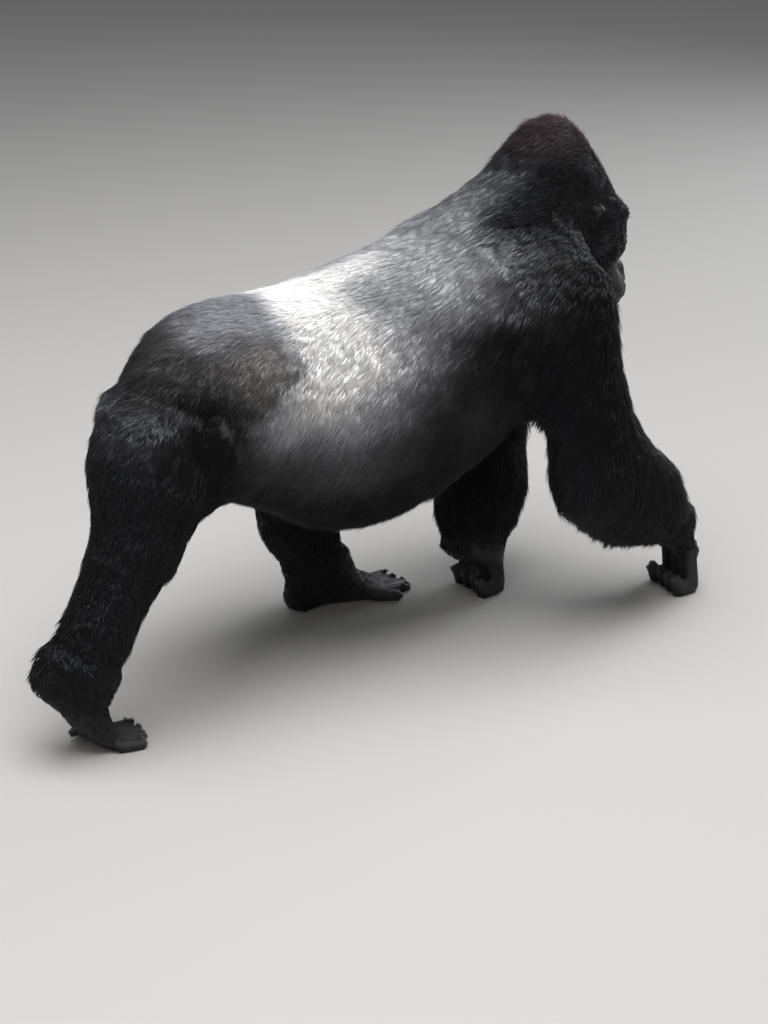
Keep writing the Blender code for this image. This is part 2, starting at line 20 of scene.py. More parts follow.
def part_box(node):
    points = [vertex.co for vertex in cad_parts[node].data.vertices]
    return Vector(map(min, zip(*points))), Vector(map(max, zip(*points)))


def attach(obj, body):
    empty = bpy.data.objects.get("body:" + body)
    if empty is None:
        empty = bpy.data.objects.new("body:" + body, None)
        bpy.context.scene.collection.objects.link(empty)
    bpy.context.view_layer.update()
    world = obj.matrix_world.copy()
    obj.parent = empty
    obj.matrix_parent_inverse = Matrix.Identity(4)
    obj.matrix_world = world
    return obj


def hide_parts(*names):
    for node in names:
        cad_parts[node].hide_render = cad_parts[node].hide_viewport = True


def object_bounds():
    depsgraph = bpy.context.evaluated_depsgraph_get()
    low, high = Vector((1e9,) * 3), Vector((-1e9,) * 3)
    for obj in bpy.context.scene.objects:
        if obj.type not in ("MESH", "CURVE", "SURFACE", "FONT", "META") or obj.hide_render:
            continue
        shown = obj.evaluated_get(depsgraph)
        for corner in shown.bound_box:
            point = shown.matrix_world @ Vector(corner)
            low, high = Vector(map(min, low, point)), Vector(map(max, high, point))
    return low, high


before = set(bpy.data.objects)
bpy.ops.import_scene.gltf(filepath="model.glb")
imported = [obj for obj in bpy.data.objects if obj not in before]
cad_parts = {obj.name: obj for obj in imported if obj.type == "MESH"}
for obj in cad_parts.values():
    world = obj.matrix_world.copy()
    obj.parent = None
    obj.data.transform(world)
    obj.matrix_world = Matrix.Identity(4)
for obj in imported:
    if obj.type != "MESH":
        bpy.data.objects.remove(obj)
cad_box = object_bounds()

SIDES = {"left": 1, "right": -1}
FULL_VOXEL = 0.0036  # mesh size of the skin before it is refined
VOXEL = FULL_VOXEL
SKIN_TRIANGLES = 190000
COAT_TRIANGLES = 198000  # the most in one piece of the coat
HAIR_SHARE = 0.92  # of the table's crowd of tufts
MIDLINE = -0.012  # the body's middle, along Y

# ---------------- small tools


def linear(code):
    """An sRGB hex colour as linear red, green and blue."""
    values = [int(code[i : i + 2], 16) / 255 for i in (1, 3, 5)]
    return np.array([v / 12.92 if v <= 0.04045 else ((v + 0.055) / 1.055) ** 2.4 for v in values])


def unit(vectors):
    vectors = np.asarray(vectors, float)
    return vectors / np.maximum(np.linalg.norm(vectors, axis=-1, keepdims=True), 1e-9)


def ramp(low, high, value):
    """0 below low, 1 above high, smooth between."""
    t = np.clip((value - low) / (high - low), 0, 1)
    return t * t * (3 - 2 * t)


def bump(value, width):
    """1 where value is 0, falling to nearly 0 at twice the width."""
    return np.exp(-((value / width) ** 2))


def ripple(points, size, seed):
    """Smooth noise between about -1 and 1 whose waves are about size long."""
    waves, spread_of_sum = 7, 2.6
    rng = np.random.default_rng(seed)
    total = np.zeros(len(points))
    for _ in range(waves):
        wave = unit(rng.normal(size=3)) * 2 * math.pi / (size * rng.uniform(0.7, 1.6))
        total += np.sin(points @ wave + rng.uniform(0, 2 * math.pi))
    return total / spread_of_sum


def read(collection, field, width=3, kind=np.float32):
    """A field of all the vertices, edges or faces as one array."""
    values = np.empty(len(collection) * width, kind)
    collection.foreach_get(field, values)
    return values.reshape(-1, width) if width > 1 else values


def put(mesh, points):
    mesh.vertices.foreach_set("co", np.asarray(points, np.float32).ravel())
    mesh.update()


def vertex_places(mesh):
    return read(mesh.vertices, "co").astype(float)


def vertex_normals(mesh):
    return read(mesh.vertex_normals, "vector").astype(float)


def column(weights, values):
    """One weight for each row of values."""
    return weights.reshape(-1, *[1] * (values.ndim - 1))


def neighbour_mean(mesh):
    """A function that gives the mean of each vertex's neighbours' values."""
    edges = read(mesh.edges, "vertices", 2, np.int32)
    ends = np.concatenate((edges[:, 0], edges[:, 1]))
    others = np.concatenate((edges[:, 1], edges[:, 0]))[np.argsort(ends, kind="stable")]
    degree = np.bincount(ends, minlength=len(mesh.vertices))
    starts = np.concatenate(([0], np.cumsum(degree)[:-1]))

    def mean(values):
        return np.add.reduceat(values[others], starts, axis=0) / column(degree, values)

    return mean


def relax(values, mean, rounds, amount=0.5):
    """Draws each vertex's value towards its neighbours' mean."""
    amount = np.asarray(amount)
    if amount.ndim:
        amount = column(amount, values)
    for _ in range(rounds):
        values = values + amount * (mean(values) - values)
    return values


def apply_modifiers(obj):
    graph = bpy.context.evaluated_depsgraph_get()
    mesh = bpy.data.meshes.new_from_object(obj.evaluated_get(graph))
    obj.modifiers.clear()
    obj.data = mesh


def mesh_of(bm, name):
    """Ends a bmesh and makes a mesh of it."""
    mesh = bpy.data.meshes.new(name)
    bm.to_mesh(mesh)
    bm.free()
    return mesh


def new_object(name, mesh):
    mesh.name = name
    obj = bpy.data.objects.new(name, mesh)
    bpy.context.scene.collection.objects.link(obj)
    return obj


# ---------------- the head's own frame
# Places ahead, left and up of the head's middle. Directions and size come from the eyes and ears.


def middle_of(node):
    low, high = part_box(node)
    return np.array((low + high) / 2)


EYE = {name: middle_of("eye_" + name) for name in SIDES}
EYE_RADIUS = (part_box("eye_left")[1].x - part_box("eye_left")[0].x) / 2
EAR = {name: middle_of("ear_" + name) for name in SIDES}
EYE_AHEAD, EYE_RISE, EYE_SIDE = 0.106, 0.014, 0.037
EYE_SUNK = 0.008  # the eyes lie this much further back than that
HEAD_REACH = 0.3  # what is further from the head's middle is body
BETWEEN_EARS = (EAR["left"] + EAR["right"]) / 2
BETWEEN_EYES = (EYE["left"] + EYE["right"]) / 2
HEAD_LEFT = unit(EYE["left"] - EYE["right"])
HEAD_SIZE = np.linalg.norm(EYE["left"] - EYE["right"]) / (2 * EYE_SIDE)
sight = BETWEEN_EYES - BETWEEN_EARS
sight = unit(sight - HEAD_LEFT * (sight @ HEAD_LEFT))
above = np.cross(sight, HEAD_LEFT)
tilt = math.atan2(EYE_RISE, EYE_AHEAD)
HEAD_AHEAD = sight * math.cos(tilt) - above * math.sin(tilt)
HEAD_UP = np.cross(HEAD_AHEAD, HEAD_LEFT)
HEAD_TURN = np.stack((HEAD_AHEAD, HEAD_LEFT, HEAD_UP), 1)
HEAD_CENTRE = BETWEEN_EYES - HEAD_TURN @ np.array((EYE_AHEAD - EYE_SUNK, 0, EYE_RISE)) * HEAD_SIZE


def to_head(points):
    return (points - HEAD_CENTRE) @ HEAD_TURN / HEAD_SIZE


def from_head(offsets):
    return HEAD_CENTRE + np.asarray(offsets, float) @ HEAD_TURN.T * HEAD_SIZE


# ---------------- the coat, region by region
# depth: how far the skin lies inside the flesh node. length, width: of a tuft. rise: how far the hair
# stands off the skin, in degrees. crowd: tufts per square centimetre. way: which way the hair lies.
# lock: how far the tips gather. droop: how far the hair hangs. Both are 0 where a row leaves them out.

KEYS = ("depth", "length", "width", "rise", "crowd", "way", "lock", "droop")
BACKWARD = -HEAD_AHEAD * 0.95 - HEAD_UP * 0.25
REGIONS = {
    "head": (0.012, 0.024, 0.0018, 15, 16, BACKWARD, 0.25),
    "jaw": (0.006, 0.020, 0.0017, 18, 13, BACKWARD + np.array((0, 0, -0.6)), 0.2),
    "ear": (0.0004, 0.012, 0.0012, 10, 10, BACKWARD),
    "neck": (0.015, 0.060, 0.0018, 8, 15, (-0.9, 0, -0.5), 0.32),
    "chest": (0.011, 0.052, 0.0018, 7.5, 14.5, (-0.72, 0, -0.66), 0.32),
    "abdomen": (0.007, 0.028, 0.0018, 9, 10.8, (-0.8, 0, -0.6), 0.2),
    "pelvis": (0.007, 0.026, 0.0018, 9, 13, (-0.8, 0, -0.6), 0.2),
    "upper_arm": (0.020, 0.062, 0.0022, 13, 10.5, (-0.42, 0, -0.9), 0.4, 0.15),
    "forearm": (0.027, 0.080, 0.0024, 20, 10.5, (0.25, 0, -1.0), 0.55, 0.35),
    "hand": (0.011, 0.032, 0.0021, 7, 10, (0.15, 0, -1.0), 0.4, 0.4),
    "finger": (0.0006, 0.012, 0.0015, 8, 6, (0.3, 0, -1.0)),
    "thigh": (0.010, 0.034, 0.0021, 12, 11, (-0.45, 0, -0.9), 0.3),
    "shank": (0.022, 0.050, 0.0025, 21, 10, (-0.2, 0, -1.0), 0.4, 0.1),
    "foot": (0.006, 0.030, 0.0020, 16, 9, (0.6, 0, -0.8), 0.3),
    "toe": (0.0006, 0.010, 0.0014, 8, 6, (1.0, 0, -0.2)),
}


def region_of(node):
    for part in ("upper_arm", "forearm", "hand", "thigh", "shank", "foot", "ear"):
        if node.startswith(part):
            return part
    if "finger" in node or "thumb" in node:
        return "finger"
    if "toe" in node:
        return "toe"
    if node.startswith("eye"):
        return "head"
    return node


NODES = sorted(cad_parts)
FLESH = [name for name in NODES if not name.startswith("eye")]


def surface_of(nodes):
    """The nodes' surface as a search tree, and which node each of its faces is of."""
    points, faces, owner = [], [], []
    for index, name in enumerate(nodes):
        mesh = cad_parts[name].data
        mesh.calc_loop_triangles()
        start = len(points)
        points += [tuple(v.co) for v in mesh.vertices]
        faces += [tuple(start + i for i in t.vertices) for t in mesh.loop_triangles]
        owner += [index] * len(mesh.loop_triangles)
    return BVHTree.FromPolygons(points, faces), np.array(owner)


TREE, OWNER = surface_of(NODES)


def nodes_at(points):
    """Index in NODES of the node nearest to each point."""
    return OWNER[[TREE.find_nearest(p)[2] for p in points.tolist()]]


def spread(owner, key):
    """The value that the region table gives for each vertex."""
    rows = [(*REGIONS[region_of(name)], 0, 0) for name in NODES]
    return np.array([row[KEYS.index(key)] for row in rows], float)[owner]


def kinds(owner):
    """The region that each vertex is in."""
    return np.array([region_of(name) for name in NODES])[owner]


def bare_face(points):
    """1 on the bare skin of the face, 0 where the head is haired."""
    place = to_head(points)
    ahead, left, up = place.T
    half_width, half_height, middle = 0.080, 0.132, -0.076
    oval = ((left / half_width) ** 4 + ((up - middle) / half_height) ** 4) ** 0.25
    near = np.linalg.norm(place, axis=1) < HEAD_REACH
    return (1 - ramp(0.88, 1.03, oval)) * ramp(0.045, 0.070, ahead) * near


# ---------------- the skin


def shrink_wrap():
    """One closed shell round all the nodes, each swollen a little to close the cuts between them."""
    swell = 0.0006
    whole = bmesh.new()
    for name in NODES:
        part = bmesh.new()
        part.from_mesh(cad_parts[name].data)
        bmesh.ops.remove_doubles(part, verts=part.verts, dist=1e-5)
        part.normal_update()
        for vertex in part.verts:
            vertex.co += swell * vertex.normal
        mesh = mesh_of(part, name)
        whole.from_mesh(mesh)
        bpy.data.meshes.remove(mesh)
    skin = new_object("skin", mesh_of(whole, "skin"))
    wrap = skin.modifiers.new("wrap", "REMESH")
    wrap.mode = "VOXEL"
    wrap.voxel_size = VOXEL
    apply_modifiers(skin)
    return skin


def refine(mesh, chosen):
    """Halves the edges between the chosen vertices."""
    bm = bmesh.new()
    bm.from_mesh(mesh)
    edges = [e for e in bm.edges if chosen[e.verts[0].index] and chosen[e.verts[1].index]]
    bmesh.ops.subdivide_edges(bm, edges=edges, cuts=1, use_grid_fill=True)
    bm.to_mesh(mesh)
    bm.free()


def model_skin():
    skin = shrink_wrap()
    mesh = skin.data
    points = vertex_places(mesh)
    owner = nodes_at(points)
    mean = neighbour_mean(mesh)
    kind = kinds(owner)
    # big forms are smoothed over the cuts, and small ones keep their shape
    fine = np.isin(kind, ("hand", "foot", "jaw")) | (bare_face(points) > 0.02)
    strength = np.where(fine, 0.06, np.where(np.isin(kind, ("ear", "finger", "toe")), 0.02, 0.6))
    strength = relax(strength, mean, 6)
    rounds = int(90 * (FULL_VOXEL / VOXEL) ** 2)
    points = relax(points, mean, rounds, strength)
    # the rump runs on into the thighs with no step
    on_thigh = relax((kind == "thigh") * 1.0, mean, rounds)
    hip = 0.6 * ramp(0.02, 0.3, on_thigh * (1 - on_thigh))
    points = relax(points, mean, rounds, hip * ramp(0.45, 0.6, points[:, 2]))
    seat = bump(np.linalg.norm(points - SEAT, axis=1), SEAT_REACH)
    points = relax(points, mean, 3 * rounds, 0.85 * seat)
    put(mesh, points)
    points = add_forms(points, vertex_normals(mesh))
    put(mesh, points)
    # in by the depth of the coat, and smoothed again where that sharpens a fold
    depth = relax(spread(owner, "depth") * (1 - bare_face(points)), mean, 40)
    points -= depth[:, None] * vertex_normals(mesh)
    points = relax(points, mean, rounds // 3, 0.5 * (strength > 0.3))
    put(mesh, points)
    # finer on ears, digits and face, and finer still round eyes, nose and mouth
    near_ear = sum(np.linalg.norm(points - EAR[name], axis=1) < 0.045 for name in SIDES) > 0
    refine(mesh, near_ear | (bare_face(points) > 0.05) | np.isin(kind, ("finger", "toe")))
    place = to_head(vertex_places(mesh))
    ahead, left, up = place.T
    features = (ahead > 0.05) & (np.abs(left) < 0.066) & (up < 0.06) & (up > -0.155)
    refine(mesh, features & (np.linalg.norm(place, axis=1) < HEAD_REACH))
    part_digits(mesh)
    shape_face(mesh)
    thin_coated(skin)
    skin.data.shade_smooth()
    return skin


def thin_coated(skin):
    """Thins the haired skin, down to the triangles that the skin may have."""
    mesh = skin.data
    triangles = sum(len(p.vertices) - 2 for p in mesh.polygons)
    if triangles > SKIN_TRIANGLES:
        group = skin.vertex_groups.new(name="coated")
        coated = 1 - np.clip(bare_face(vertex_places(mesh)), 0, 1)
        for index in np.flatnonzero(coated > 0.5).tolist():
            group.add([index], 1.0, "REPLACE")
        thin = skin.modifiers.new("thin", "DECIMATE")
        thin.ratio = SKIN_TRIANGLES / triangles
        thin.vertex_group = "coated"
        apply_modifiers(skin)


def crease(away, width, depth):
    """A groove where away is 0."""
    return -depth * bump(away, width)


# the place between rump and right thigh that is smoothed over
SEAT = (-0.600, -0.150, 0.680)
SEAT_REACH = 0.105

# folds (below 0) and ridges (above 0) of the body: height, half width, and the line each one runs along
FORMS = {
    "seat": (0.028, 0.042, (
        (-0.580, -0.030, 0.692), (-0.600, -0.090, 0.682), (-0.610, -0.150, 0.677),
        (-0.590, -0.205, 0.672), (-0.575, -0.235, 0.668))),
    "hip crease": (-0.011, 0.018, (
        (-0.360, -0.255, 0.675), (-0.417, -0.253, 0.692), (-0.451, -0.248, 0.703),
        (-0.517, -0.222, 0.715))),
    "flank hollow": (-0.018, 0.021, (
        (-0.470, -0.250, 0.690), (-0.488, -0.262, 0.650), (-0.490, -0.268, 0.615),
        (-0.480, -0.274, 0.575), (-0.463, -0.261, 0.520))),
    "flank fold": (0.007, 0.018, (
        (-0.445, -0.259, 0.674), (-0.426, -0.266, 0.631), (-0.405, -0.264, 0.589))),
    "flank groove": (-0.008, 0.015, (
        (-0.408, -0.262, 0.668), (-0.390, -0.266, 0.628), (-0.368, -0.263, 0.580))),
    "spine furrow": (-0.006, 0.020, (
        (0.170, 0.000, 0.955), (0.050, -0.010, 0.905), (-0.080, -0.012, 0.870),
        (-0.200, -0.012, 0.855))),
    "thigh groove": (-0.007, 0.018, (
        (-0.560, -0.262, 0.640), (-0.590, -0.268, 0.560), (-0.620, -0.270, 0.490))),
    "rump cleft": (-0.010, 0.018, (
        (-0.500, -0.012, 0.800), (-0.570, -0.012, 0.730), (-0.600, -0.012, 0.640))),
}
TWIN_FORMS = {
    "blade ridge": (0.006, 0.034, (
        (0.205, -0.100, 0.945), (0.222, -0.155, 0.918), (0.243, -0.210, 0.885))),
    "blade edge": (-0.004, 0.030, (
        (0.120, -0.110, 0.905), (0.135, -0.175, 0.872), (0.150, -0.232, 0.828))),
    "side of the back": (-0.005, 0.022, (
        (0.080, -0.085, 0.895), (-0.020, -0.095, 0.868), (-0.120, -0.090, 0.850))),
}


def distance_to_line(points, line):
    """How far each point is from a bent line, up to 1 m."""
    least = np.full(len(points), 1.0)
    line = np.array(line)
    for start, end in zip(line[:-1], line[1:]):
        run = end - start
        share = np.clip((points - start) @ run / (run @ run), 0, 1)
        least = np.minimum(least, np.linalg.norm(points - start - share[:, None] * run, axis=1))
    return least


def add_forms(points, normals):
    """Presses the folds in and raises the ridges. Twin forms are on both sides of the midline."""
    forms = list(FORMS.values()) + list(TWIN_FORMS.values())
    for height, width, line in TWIN_FORMS.values():
        forms.append((height, width, tuple((x, 2 * MIDLINE - y, z) for x, y, z in line)))
    push = sum(height * bump(distance_to_line(points, line), width) for height, width, line in forms)
    return points + push[:, None] * normals


def part_digits(mesh):
    """Grooves between the fingers and between the toes, where one digit's solid meets the next."""
    margin, half_width = 0.008, 0.0045
    points = vertex_places(mesh)
    normals = vertex_normals(mesh)
    for side in SIDES:
        for part, groove in (("finger", 0.0062), ("toe", 0.0040)):
            nodes = [name for name in NODES if part in name and name.endswith(side)]
            boxes = np.array([[tuple(corner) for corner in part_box(name)] for name in nodes])
            low, high = boxes[:, 0].min(0) - margin, boxes[:, 1].max(0) + margin
            near = np.flatnonzero(((points > low) & (points < high)).all(1))
            gaps = []
            for name in nodes:
                tree = surface_of([name])[0]
                gaps.append([tree.find_nearest(p)[3] for p in points[near].tolist()])
            gaps = np.sort(np.array(gaps), axis=0)
            between = bump(gaps[1] - gaps[0], half_width) * (1 - ramp(0.004, 0.010, gaps[0]))
            points[near] -= (groove * between)[:, None] * normals[near]
    put(mesh, points)


def shape_face(mesh):
    """Brow, nose, lips, folds, lids and ears, pushed in or out along the skin's normals."""
    points = vertex_places(mesh)
    mean = neighbour_mean(mesh)
    face = bare_face(points)
    points = relax(points, mean, 8, 0.5 * face)
    place = to_head(points)
    ahead, left, up = place.T
    side = np.abs(left)
    head = np.linalg.norm(place, axis=1) < HEAD_REACH
    front = ramp(0.055, 0.085, ahead) * head
    # the nose lies flat on the muzzle, and the lips stand further out than it
    nose_back = 0.016 * bump(up + 0.062, 0.024) * ramp(0.13, 0.17, ahead)
    nose_back = nose_back * (1 - ramp(0.03, 0.06, side))
    lips_out = 0.007 * bump(up + 0.126, 0.026) * ramp(0.12, 0.18, ahead)
    place[:, 0] += (lips_out - nose_back) * head
    place[:, 1] *= 1 + 0.07 * bump(up + 0.118, 0.045) * ramp(0.09, 0.13, ahead) * head
    place = relax(place, mean, 3, 0.5 * face)
    put(mesh, from_head(place))
    normals = vertex_normals(mesh) @ HEAD_TURN
    push = np.zeros(len(points))  # each of these adds to it
    shape_brow(push, place, front)
    shape_nose(push, place, front, head)
    shape_mouth(push, place, front, head)
    shape_cheeks(push, place, front)
    place = place + push[:, None] * normals
    for name, sign in SIDES.items():
        place = close_lids(place, name, sign)
        place = fold_ear(place, name, sign)
    put(mesh, from_head(place))


def shape_brow(push, place, front):
    """One heavy bar over both eyes, bent down at its ends, with a shelf under it and frown lines."""
    left, up = place.T[1:]
    side = np.abs(left)
    bar = 0.043 - 0.35 * np.clip(side - 0.045, 0, 1)
    ends = 1 - ramp(0.060, 0.080, side)
    push += front * 0.0088 * bump(up - bar, 0.0125) * ends * (1 - 0.3 * bump(left, 0.010))
    shelf = front * crease(up - bar + 0.0185, 0.0045, 0.004)
    push += shelf * ramp(0.010, 0.020, side) * (1 - ramp(0.055, 0.066, side))
    push += front * crease(left, 0.0030, 0.0030) * bump(up - 0.040, 0.014)
    push += front * crease(side - 0.0085, 0.0022, 0.0020) * bump(up - 0.030, 0.012)


def shape_nose(push, place, front, head):
    """A low wrinkled bridge between two hollows, and broad nostrils in two thick pads."""
    ahead, left, up = place.T
    side = np.abs(left)
    low_bridge = ramp(-0.062, -0.035, up) * (1 - ramp(0.012, 0.030, up))
    push += front * 0.0050 * bump(left, 0.0085) * low_bridge
    hollow = front * 0.0045 * bump(side - 0.0215, 0.0085) * ramp(-0.055, -0.035, up)
    push -= hollow * (1 - ramp(-0.012, 0.002, up))
    for height in (0.010, 0.001, -0.009, -0.020, -0.031):
        wrinkle = front * crease(up - height - 0.25 * side, 0.0014, 0.0011)
        push += wrinkle * (1 - ramp(0.010, 0.020, side))
    # each nostril is a slanting oval: pit is 1 on its rim
    out, high = side - 0.0215, up + 0.072
    slant = math.radians(24)
    along = out * math.cos(slant) + high * math.sin(slant)
    over = high * math.cos(slant) - out * math.sin(slant)
    pit = np.hypot(along / 0.0118, over / 0.0082)
    on_nose = ramp(0.120, 0.140, ahead) * head
    push += on_nose * 0.0068 * bump(pit - 1.75, 0.62)
    push -= on_nose * 0.013 * (1 - ramp(0.45, 1.12, pit))
    push += on_nose * crease(pit - 3.1, 0.5, 0.0034) * ramp(-0.012, 0.004, high + 0.5 * out)
    push += on_nose * crease(left, 0.0026, 0.0048) * bump(up + 0.072, 0.022)
    # under the nose the lip starts with a fold
    under = on_nose * crease(up + 0.0965 + 0.25 * side, 0.0030, 0.0028)
    push += under * (1 - ramp(0.030, 0.044, side))


def shape_mouth(push, place, front, head):
    """Folds down from the nose, and a long mouth, low at its corners, between full lips."""
    ahead, left, up = place.T
    side = np.abs(left)
    down = np.clip((-0.050 - up) / 0.08, 0, 1)
    for shift, top in ((0.0, -0.078), (0.0105, -0.055)):
        line = 0.047 + shift + 0.020 * down**1.4
        fold = front * crease(side - line, 0.0034, 0.0030)
        push += fold * ramp(-0.138, -0.12, up) * (1 - ramp(top, top + 0.02, up))
    push += front * 0.0030 * bump(side - 0.057 - 0.018 * down, 0.006) * bump(up + 0.085, 0.03)
    above_mouth = up - (-0.134 - 0.012 * (side / 0.06) ** 2 - 0.10 * (ahead - 0.2))
    muzzle = ramp(0.09, 0.12, ahead) * head
    lips = muzzle * (1 - ramp(0.060, 0.072, side))
    push += lips * crease(above_mouth, 0.0026, 0.0095)
    full = bump(above_mouth - 0.0085, 0.0055) + bump(above_mouth + 0.0095, 0.0065)
    push += lips * 0.0034 * full
    push += muzzle * crease(np.hypot(side - 0.068, up + 0.149) - 0.004, 0.004, 0.003)
    # fine upright wrinkles in the lips, about 4 mm apart
    wrinkles = 0.5 + 0.5 * np.sin(side * 1500 + 400 * up)
    push -= lips * 0.0007 * wrinkles * bump(above_mouth, 0.016)
    push += muzzle * crease(up + 0.170, 0.006, 0.0025) * (1 - ramp(0.03, 0.05, side))


def shape_cheeks(push, place, front):
    """Cheekbones, folds under and beside the eyes, and crow's feet."""
    ahead, left, up = place.T
    side = np.abs(left)
    push += front * 0.0075 * bump(side - 0.066, 0.014) * bump(up + 0.022, 0.030)
    out, high = side - EYE_SIDE, up - EYE_RISE
    from_eye = np.hypot(out / 1.18, high * 1.05)
    lower = 1 - ramp(-0.006, 0.012, high - 0.35 * out)
    rings = ((0.0215, 0.0020, 0.0030), (0.0285, 0.0022, 0.0027),
             (0.0370, 0.0026, 0.0024), (0.0470, 0.0030, 0.0018))
    for radius, width, depth in rings:
        push += front * crease(from_eye - radius, width, depth) * lower * (ahead < 0.15)
    push += front * 0.0022 * bump(from_eye - 0.0250, 0.0022) * lower
    fan = np.arctan2(up - 0.012, out)
    crow = front * bump(np.sin(fan * 9), 0.45) * bump(from_eye - 0.031, 0.010) * (side > 0.05)
    push -= 0.0014 * crow


def close_lids(place, name, sign):
    """Two thick lids lie on the eyeball and leave an almond of it open."""
    radius = EYE_RADIUS / HEAD_SIZE
    centre = to_head(EYE[name][None])[0]
    gaze = unit((1.0, 0.16 * sign, -0.06))
    outward = unit(np.cross((0, 0, 1.0), gaze)) * sign
    upward = np.cross(gaze, outward) * sign
    offset = place - centre
    distance = np.linalg.norm(offset, axis=1)
    facing = offset @ gaze / np.maximum(distance, 1e-6)
    out = offset @ outward
    high = offset @ upward
    opening = 0.0060 * np.clip(1 - (out / 0.0125) ** 2, 0, 1) ** 0.75
    middle = 0.0004 + 0.10 * out
    past = np.where(high > middle, (high - middle) - opening * 0.92, (middle - high) - opening * 1.05)
    rim = bump(past - 0.0012, 0.0014)
    fold = bump(past - 0.0052, 0.0011)
    held = radius + 0.0018 + 0.0013 * rim - 0.0016 * fold * (high > middle)
    wanted = (radius - 0.0035) + (held - radius + 0.0035) * ramp(-0.0005, 0.0009, past)
    ring = np.hypot(out, high)
    weight = ramp(0.10, 0.30, facing) * (1 - ramp(0.0125, 0.0185, ring)) * (distance < 0.034)
    moved = centre + offset / np.maximum(distance, 1e-6)[:, None] * wanted[:, None]
    return place + weight[:, None] * (moved - place)


def fold_ear(place, name, sign):
    """A small rounded ear: a rolled rim, a ridge inside it, a deep hollow and a flap before it."""
    centre = to_head(EAR[name][None])[0]
    offset = place - centre
    out = offset[:, 1] * sign
    ahead, up = offset[:, 0] + 0.12 * offset[:, 2], offset[:, 2]
    oval = np.hypot(ahead / 0.0195, up / 0.0255)
    outer = ramp(0.000, 0.006, out) * (oval < 1.6)
    push = 0.0030 + 0.0065 * bump(oval - 0.86, 0.17) * (1 - 0.5 * ramp(0.008, 0.016, ahead))
    push -= 0.0075 * (1 - ramp(0.30, 0.68, np.hypot((ahead - 0.003) / 0.0175, (up + 0.002) / 0.020)))
    push += 0.0024 * bump(oval - 0.50, 0.12) * ramp(0.004, -0.006, ahead)
    push += 0.0030 * bump(ahead - 0.014, 0.005) * bump(up + 0.003, 0.007)
    place = place.copy()
    place[:, 1] += sign * outer * push
    return place


# ---------------- markings

BLACK = linear("#060607")
UMBER = linear("#fff8f4")
COOL = linear("#f8f9ff")
WARM = linear("#fffcf9")
# the colour of the painted bluish sheen on the black hair
SHEEN_BLUE = linear("#e6e8f4")
CREST_BROWN = linear("#382c2f")
STRAW = linear("#6f5c4a")
FACE_BLACK = linear("#1b1819")


def uneven_bump(value, low_width, high_width):
    """A bump with one width where value is below 0 and another where it is above."""
    return np.where(value < 0, bump(value, low_width), bump(value, high_width))


def mix(one, two, share):
    share = np.asarray(share)[:, None]
    return one * (1 - share) + two * share


def markings(points):
    """The coat's colour at each place: a silver saddle on black, which ends sharply at the rump, with
    some painted sheen.
    """
    x, y, z = points.T
    x = x + 0.011 * ripple(points, 0.15, 3)
    z = z + 0.010 * ripple(points, 0.12, 4)
    off = np.abs(y - MIDLINE)
    # the hind edge of the saddle runs down and back along the swell of the rump
    edge = -0.222 - 0.07 * (0.846 - z) - 1.55 * np.clip(0.745 - z, 0, 1)
    edge = edge - 0.030 * bump(z - 0.795, 0.03)
    ahead = ramp(-0.012, 0.012, x - edge)
    # palest over the loin
    loin = uneven_bump(x + 0.15, 0.085, 0.092) * ramp(0.66, 0.78, z)
    # a slanting band down the flank, and grey on the side of the belly
    past = x - 0.9 * (z - 0.74) + 0.145
    flank = 0.84 * uneven_bump(past, 0.12, 0.15)
    flank = flank * uneven_bump(z - 0.735, 0.105, 0.080)
    belly = 0.27 * bump(z - 0.640, 0.055) + 0.095 * bump(z - 0.53, 0.055)
    flank = flank + bump(x + 0.14, 0.13) * belly
    flank = flank * ramp(-0.43, -0.30, x)
    # grey on the back, less on the neck's sides and the shoulders
    back = bump(x - 0.13, 0.138) * ramp(0.76, 0.88, z)
    neck = 0.9 * ramp(0.22, 0.31, x) * ramp(0.05, 0.10, off) * ramp(0.90, 0.96, z)
    back = back * (1 - neck)
    back = back * (1 - 0.6 * ramp(0.20, 0.30, x) * ramp(0.15, 0.22, off))
    spine = bump(y - MIDLINE - 0.02, 0.075) * ramp(0.80, 0.85, z)
    spine = spine * ramp(-0.20, -0.17, x) * (1 - ramp(0.03, 0.12, x))
    pale = np.clip(ahead * (0.90 * loin + flank + 0.44 * back) + 0.48 * spine, 0, 0.9)
    colour = BLACK + pale[:, None] * mix(COOL, WARM, ramp(0.35, 0.8, pale))
    # the rump is umber grey near the edge and blacker towards the hip
    rump = 0.15 * bump(x + 0.31, 0.075) * ramp(0.64, 0.74, z) * (1 - ramp(0.77, 0.81, z))
    rump = rump + 0.05 * ramp(0.70, 0.78, z)
    colour = colour + ((1 - ahead) * rump)[:, None] * UMBER
    # painted bluish-grey sheen, where light from above would gleam on the black hair: along the top of
    # the rump, between the shoulders, on the seat and on the cheeks
    sheen = 0.22 * (1 - ahead) * ramp(0.785, 0.825, z)
    sheen = sheen + 0.11 * bump(off, 0.07) * bump(x - 0.30, 0.09) * ramp(0.93, 1.0, z)
    sheen = sheen + 0.055 * bump(x + 0.60, 0.07) * bump(z - 0.68, 0.05)
    sheen = sheen + 0.05 * bump(off - 0.11, 0.03) * bump(x - 0.57, 0.035) * bump(z - 0.86, 0.035)
    colour = colour + sheen[:, None] * SHEEN_BLUE
    ribs = 0.03 * bump(x - 0.16, 0.06) * bump(z - 0.59, 0.06) * ramp(0.18, 0.24, np.abs(y))
    colour = colour + ribs[:, None] * UMBER
    colour = mix(colour, CREST_BROWN, 0.85 * ramp(1.05, 1.13, z))
    # a straw-coloured streak where the shoulder's hair parts
    parting = distance_to_line(points, ((0.375, -0.250, 0.905), (0.398, -0.266, 0.900)))
    return mix(colour, STRAW, 0.7 * bump(parting, 0.010))


# ---------------- materials


